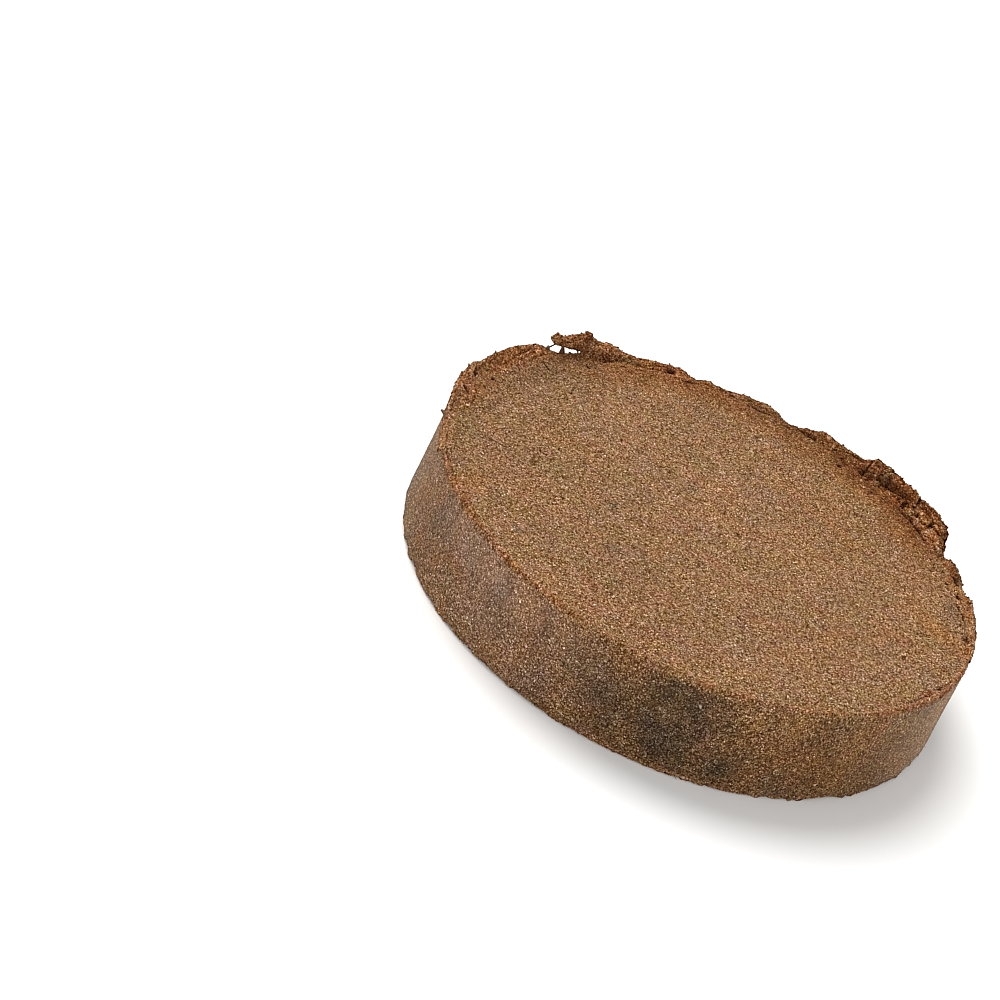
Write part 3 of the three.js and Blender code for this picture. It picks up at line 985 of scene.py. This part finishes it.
def fibre_path(start, facing, length, rise, rng):
    """A bent line that leaves the surface at start and stays near it or stands away from it."""
    along, _ = directions_across(facing[None], rng)
    heading = along[0] + rise * facing
    bend = rng.normal(0, 0.9, 3)
    steps = np.linspace(0, 1, FIBRE_STEPS)[:, None]
    path = start + length * steps * heading + length * 0.35 * steps**2 * bend
    lift = np.minimum(0, ((path - start) @ facing))[:, None]
    path = path - lift * facing
    path[:, 2] = np.maximum(path[:, 2], FIBRE_LOWEST_MM)
    return path


def fibres(name, skin, groups, seed, extra):
    """Joined fibres. Each group says how many there are, where, how long and how far they stand up.

    extra gives the paths and thicknesses of single ones.
    """
    rng = np.random.default_rng(seed)
    tubes = []
    for count, weigh, length, rise in groups:
        places, facing = surface_samples(skin, count, weigh, rng)
        for place, normal in zip(places, facing):
            size = length * math.exp(rng.normal(0, 0.35))
            stand = rise * rng.uniform(0.1, 1.4)
            tint = np.array(rng.choice(FIBRE_COLOURS)) * math.exp(rng.normal(0, 0.2))
            path = fibre_path(place - FIBRE_ROOT_MM * normal, normal, size, stand, rng)
            tubes.append((path, rng.uniform(*FIBRE_HALF_MM) * FIBRE_TAPER, tint))
    tubes += [(np.array(path, float), thickness, SPUR_COLOUR) for path, thickness in extra]

    points, faces, tints = [], [], []
    for path, thickness, tint in tubes:
        tube_points, tube_faces = tube(path, thickness)
        faces.append(tube_faces + len(points))
        points.extend(tube_points)
        tints.extend([tint] * len(tube_points))
    return mesh_from(name, np.array(points), np.vstack(faces), np.array(tints))


# Materials

# Waves or cells of the patterns to the metre, and how far they bend and raise, in metres
BEND_SCALE = 1700.0
CELL_SCALE = 4500.0
SKIN_SCALE = 5200.0
GRAIN_SCALE = 6000.0
BEND_M = 0.00035
SKIN_BUMP_M = 0.00016
GRAIN_BUMP_M = 0.00008


def new_material(name):
    """A material, its node tree and its shader."""
    material = bpy.data.materials.new(name)
    material.use_nodes = True
    return material, material.node_tree, material.node_tree.nodes["Principled BSDF"]


def set_inputs(tree, node, inputs):
    """Gives sockets of a node their values, or links them."""
    for socket, value in inputs.items():
        if isinstance(value, bpy.types.NodeSocket):
            tree.links.new(value, node.inputs[socket])
        else:
            node.inputs[socket].default_value = value


def add_node(tree, kind, inputs, **settings):
    node = tree.nodes.new(kind)
    for name, value in settings.items():
        setattr(node, name, value)
    set_inputs(tree, node, inputs)
    return node


def number(tree, operation, a, b):
    return add_node(tree, "ShaderNodeMath", {0: a, 1: b}, operation=operation).outputs[0]


def mixed(tree, share, a, b, blend="MIX"):
    """A colour between two colours."""
    inputs = {0: share, 6: a, 7: b}
    return add_node(tree, "ShaderNodeMix", inputs, data_type="RGBA", blend_type=blend).outputs[2]


def ranged(tree, value, low, high, to_low, to_high):
    """A value mapped from one range to another, and held inside it."""
    inputs = {"Value": value, "From Min": low, "From Max": high, "To Min": to_low, "To Max": to_high}
    return add_node(tree, "ShaderNodeMapRange", inputs).outputs["Result"]


def toned(tree, colour, level):
    """A colour made lighter or darker, keeping its hue as pith does."""
    channels = {i: number(tree, "POWER", level, power) for i, power in enumerate(TONE_POWERS)}
    levels = add_node(tree, "ShaderNodeCombineXYZ", channels).outputs[0]
    return add_node(tree, "ShaderNodeVectorMath", {0: colour, 1: levels}, operation="MULTIPLY").outputs[0]


def read(tree, name, output="Fac"):
    return add_node(tree, "ShaderNodeAttribute", {}, attribute_name=name).outputs[output]


def grain_ramp(tree, value):
    """One grain colour picked from all of them, laid end to end and each as long as its share."""
    node = add_node(tree, "ShaderNodeValToRGB", {"Fac": value})
    node.color_ramp.interpolation = "CONSTANT"
    elements, place = node.color_ramp.elements, 0.0
    while len(elements) < len(GRAIN_COLOURS):
        elements.new(1.0)
    for element, (_, colour, share) in zip(elements, GRAIN_COLOURS):
        element.position = place
        element.color = (*colour, 1.0)
        place += share
    return node.outputs["Color"]


def object_place(tree):
    return add_node(tree, "ShaderNodeTexCoord", {}).outputs["Object"]


def fine_noise(tree, scale):
    inputs = {"Vector": object_place(tree), "Scale": scale, "Detail": 2.0, "Roughness": 0.6}
    return add_node(tree, "ShaderNodeTexNoise", inputs).outputs["Fac"]


def bump(tree, height, strength, distance):
    inputs = {"Height": height, "Strength": strength, "Distance": distance}
    return add_node(tree, "ShaderNodeBump", inputs).outputs["Normal"]


def skin_material():
    """Pith seen between the grains: cells of grain colour, darker at their edges (dark pith and painted
    shade), painted shade in the hollows, painted highlight on proud corners, and sheen on the wall.
    """
    material, tree, shader = new_material("coir_skin")
    place = object_place(tree)
    bend = add_node(tree, "ShaderNodeTexNoise", {"Vector": place, "Scale": BEND_SCALE, "Detail": 1.0})
    bends = {0: bend.outputs["Color"], 1: (BEND_M,) * 3}
    offset = add_node(tree, "ShaderNodeVectorMath", bends, operation="MULTIPLY").outputs[0]
    warped = add_node(tree, "ShaderNodeVectorMath", {0: place, 1: offset}, operation="ADD").outputs[0]
    cells = add_node(tree, "ShaderNodeTexVoronoi", {"Vector": warped, "Scale": CELL_SCALE})
    pick = add_node(tree, "ShaderNodeSeparateColor", {"Color": cells.outputs["Color"]})
    distance, wall = cells.outputs["Distance"], read(tree, "wall")
    fine = fine_noise(tree, SKIN_SCALE)
    level = ranged(tree, pick.outputs["Green"], 0.0, 1.0, 0.7, 1.2)
    changes = [
        ("MULTIPLY", fine, 0.3, 0.7, 0.6, 1.35),
        # darker towards each cell's edge: dark pith between the grains, partly painted shade
        ("MULTIPLY", distance, 0.30, 0.75, 1.0, 0.35),
        ("POWER", wall, 0.0, 1.0, 1.0, 1.5),
        # painted shade in the hollows
        ("MULTIPLY", read(tree, "hollow_shade"), 0.0, 0.9, 1.0, 0.30),
        # painted highlight on proud corners
        ("MULTIPLY", read(tree, "proud"), 0.0, 1.0, 1.0, 1.12),
    ]
    for operation, *mapping in changes:
        level = number(tree, operation, level, ranged(tree, *mapping))
    grain = grain_ramp(tree, pick.outputs["Red"])
    colour = mixed(tree, 1.0, grain, read(tree, "shade", "Color"), "MULTIPLY")
    height = number(tree, "SUBTRACT", fine, distance)
    looks = {
        # dust, and painted sheen at the pale right end of the wall
        "Base Color": mixed(tree, read(tree, "dust_and_sheen"), toned(tree, colour, level), (*DUST_AND_SHEEN_COLOUR, 1.0)),
        "Roughness": ranged(tree, wall, 0.0, 1.0, 0.92, 0.56),
        "Specular IOR Level": 0.10,
        "Normal": bump(tree, height, ranged(tree, wall, 0.0, 1.0, 0.72, 0.45), SKIN_BUMP_M),
    }
    set_inputs(tree, shader, looks)
    return material


def piece_material(name, roughness, specular):
    """Single grains, crumbs or fibres, each in its own colour with a little variation along it."""
    material, tree, shader = new_material(name)
    fine = fine_noise(tree, GRAIN_SCALE)
    level = ranged(tree, fine, 0.3, 0.7, 0.7, 1.3)
    looks = {
        "Base Color": toned(tree, read(tree, "tint", "Color"), level),
        "Roughness": roughness,
        "Specular IOR Level": specular,
        "Normal": bump(tree, fine, 0.6, GRAIN_BUMP_M),
    }
    set_inputs(tree, shader, looks)
    return material


# The disc

def on_face(points, normals):
    where = masks(points, normals)
    return near_top(points) * (normals[:, 2] > 0.5) * (1 - 0.7 * where["torn"]) * (1 - where["shaded_gap"])


def only(name):
    """Weighs places by one of the masks."""
    return lambda points, normals: masks(points, normals)[name]


def on_crust(points, normals):
    where = masks(points, normals)
    return (where["torn"] + 0.9 * where["lip"] + 0.6 * where["foot"]) * (1 - where["shaded_gap"])


def on_torn(points, normals):
    where = masks(points, normals)
    return where["torn"] * (1 - where["shaded_gap"]) * (1 - near_slit(points, normals))


def build_disc():
    skin = remeshed_copy(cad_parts[NODE], SKIN_VOXEL_MM)
    roughen(skin)
    thinned(skin, SKIN_TRIANGLES)
    record_masks(skin)
    finished(skin, skin_material())
    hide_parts(NODE)

    matt = piece_material("coir_grain", 0.9, 0.08)
    burnished = piece_material("coir_wall_grain", 0.7, 0.11)
    finished(grains("face_grains", skin, 48000, on_face, 101, 0.105, 0.042, spread=0.13), matt)
    finished(grains("face_chips", skin, 7000, on_face, 107, 0.15, 0.055, spread=0.13), matt)
    finished(grains("wall_grains", skin, 42000, only("wall"), 102, 0.14, 0.022, 0.1, spread=0.38), burnished)
    finished(grains("underside_grains", skin, 20000, only("under"), 103, 0.22, 0.05), matt)
    finished(grains("crust_grains", skin, 40000, on_crust, 104, 0.12, 0.06, 0.4, 0.3), matt)
    finished(crumbs("crust_crumbs", skin, 1500, on_crust, 108, 0.13), matt)
    finished(flakes("crust_flakes", skin, 500, on_torn, 105, 0.22, 0.045), matt)
    groups = [
        (40, on_torn, 0.8, 0.4),
        (40, on_crust, 0.7, 0.3),
        (50, only("foot"), 0.7, 0.3),
        (60, on_face, 1.0, 0.02),
        (20, only("wall"), 0.9, 0.02),
    ]
    extra = [*BRIDGES, *(spur(*place) for place in SPURS)]
    finished(fibres("fibres", skin, groups, 106, extra), piece_material("coir_fibre", 0.7, 0.25))


# Floor, light and camera

def floor():
    bpy.ops.mesh.primitive_plane_add(size=8.0)
    plane = bpy.context.object
    plane.name = "floor"
    material, tree, shader = new_material("floor_paper")
    looks = {"Base Color": (0.90, 0.90, 0.895, 1), "Roughness": 0.9, "Specular IOR Level": 0.1}
    set_inputs(tree, shader, looks)
    plane.data.materials.append(material)


def area_light(name, direction, distance, size, power, colour=(1, 1, 1)):
    """A soft lamp in a direction from the disc, aimed at it."""
    light = bpy.data.lights.new(name, "AREA")
    light.shape = "DISK"
    light.size = size
    light.energy = power
    light.color = colour
    lamp = placed(name, light)
    lamp.location = Vector(direction).normalized() * distance
    lamp.rotation_euler = (-lamp.location).to_track_quat("-Z", "Y").to_euler()


def lights():
    area_light("key", (-0.42, 0.42, 0.80), 1.1, 0.9, 15.0, (1.0, 0.985, 0.965))
    area_light("fill", (0.15, -0.80, 0.60), 1.4, 1.2, 7.0)
    world = bpy.data.worlds.new("studio")
    world.use_nodes = True
    background = world.node_tree.nodes["Background"]
    set_inputs(world.node_tree, background, {"Color": (1, 1, 1, 1), "Strength": 0.50})
    bpy.context.scene.world = world


def camera():
    data = bpy.data.cameras.new("camera")
    data.lens = LENS_MM
    data.sensor_width = SENSOR_MM
    data.clip_start = 0.01
    data.clip_end = 20.0
    seen = placed("camera", data)
    place, aim = Vector(CAMERA_PLACE_MM) * MM, Vector(CAMERA_AIM_MM) * MM
    level = (aim - place).to_track_quat("-Z", "Y")
    seen.location = place
    seen.rotation_mode = "QUATERNION"
    seen.rotation_quaternion = level @ Quaternion((0, 0, 1), math.radians(CAMERA_ROLL))
    bpy.context.scene.camera = seen


def develop(sharpening, softening):
    """Finishes the picture as cameras do: brightness is sharpened, colour is softened a little."""
    scene = bpy.context.scene
    scene.use_nodes = True
    tree = scene.node_tree
    tree.nodes.clear()
    layers = add_node(tree, "CompositorNodeRLayers", {})
    held = add_node(tree, "CompositorNodeMixRGB", {0: 0.0, 1: layers.outputs["Image"]}, use_clamp=True)
    seen = add_node(tree, "CompositorNodeGamma", {0: held.outputs[0], 1: 1 / DISPLAY_GAMMA})
    parted = add_node(tree, "CompositorNodeSeparateColor", {0: seen.outputs[0]}, mode="YCC")
    crisp = add_node(
        tree, "CompositorNodeFilter", {0: sharpening, 1: parted.outputs[0]}, filter_type="SHARPEN"
    )
    colours = {0: crisp.outputs[0], 3: parted.outputs[3]}
    spread = {"filter_type": "GAUSS", "size_x": softening, "size_y": softening}
    for channel in (1, 2):
        soft = add_node(tree, "CompositorNodeBlur", {0: parted.outputs[channel]}, **spread)
        colours[channel] = soft.outputs[0]
    joined = add_node(tree, "CompositorNodeCombineColor", colours, mode="YCC")
    linear = add_node(tree, "CompositorNodeGamma", {0: joined.outputs[0], 1: DISPLAY_GAMMA})
    add_node(tree, "CompositorNodeComposite", {0: linear.outputs[0]})


camera()
build_disc()
floor()
lights()
develop(SHARPENING, SOFTENING_PX)
bpy.context.scene.view_settings.view_transform = "Standard"
